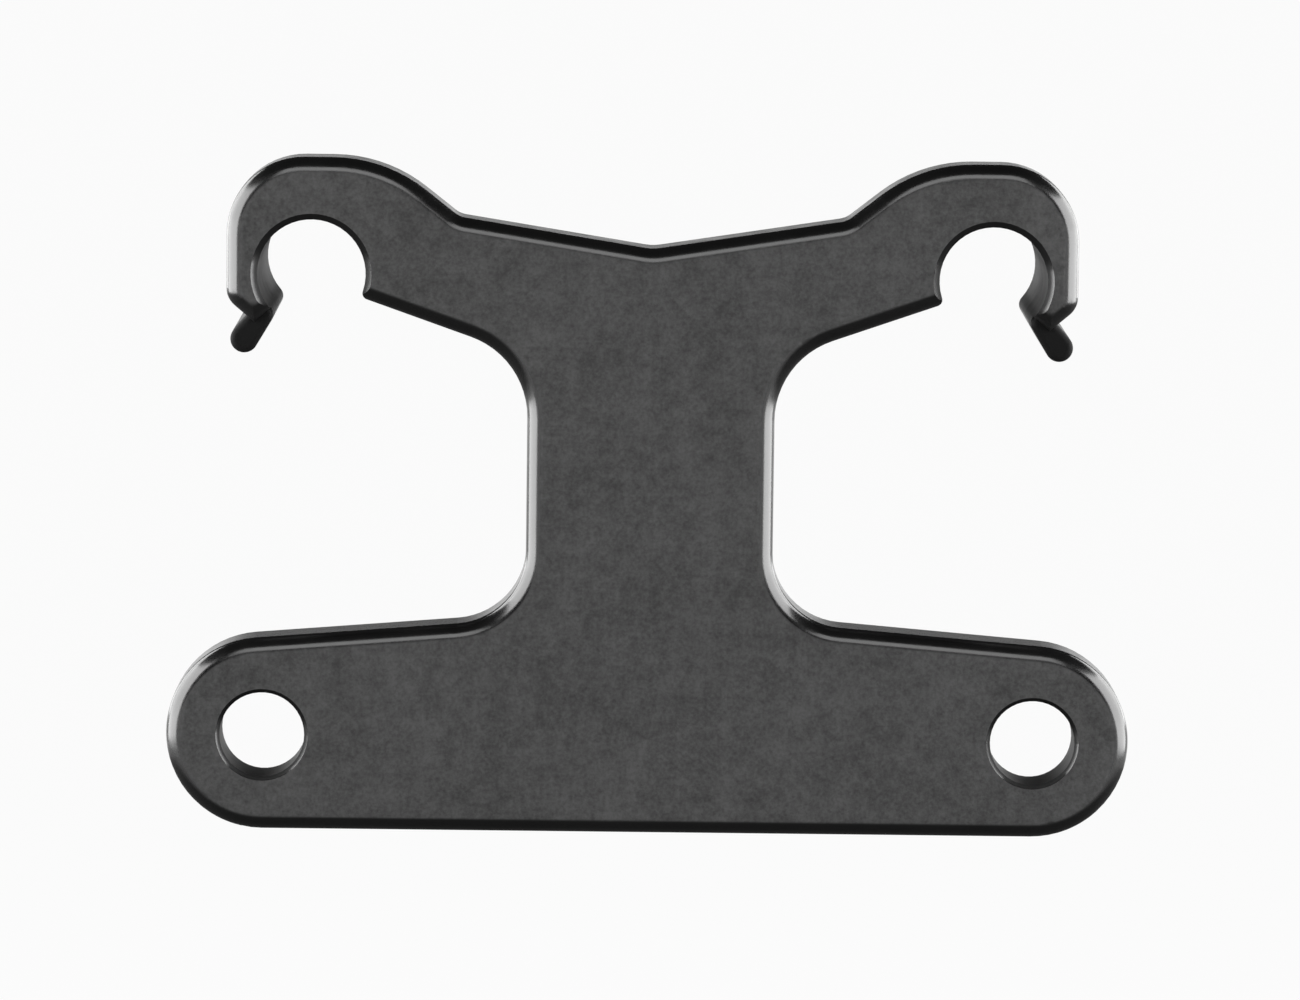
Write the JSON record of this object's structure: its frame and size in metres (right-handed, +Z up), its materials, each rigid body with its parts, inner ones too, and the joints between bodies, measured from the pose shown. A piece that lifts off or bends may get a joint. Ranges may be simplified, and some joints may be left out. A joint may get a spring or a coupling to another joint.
{
  "type": "rear light mount",
  "caption": "Flat moulded bracket with a wide lower bar drilled for a rear light, a neck, and two arms that end in clips snapping down over a saddle's rails.",
  "frame": {"origin": "midway between the two light bolt holes, on the outer face that the light sits against", "axes": "+X across the bicycle, +Y forwards along the saddle rails from the outer face, +Z up"},
  "size_m": [0.0624, 0.016, 0.0438],
  "materials": {
    "moulded_nylon": "matte"
  },
  "bodies": {
    "root": {"bracket": "moulded_nylon"}
  },
  "joints": []
}
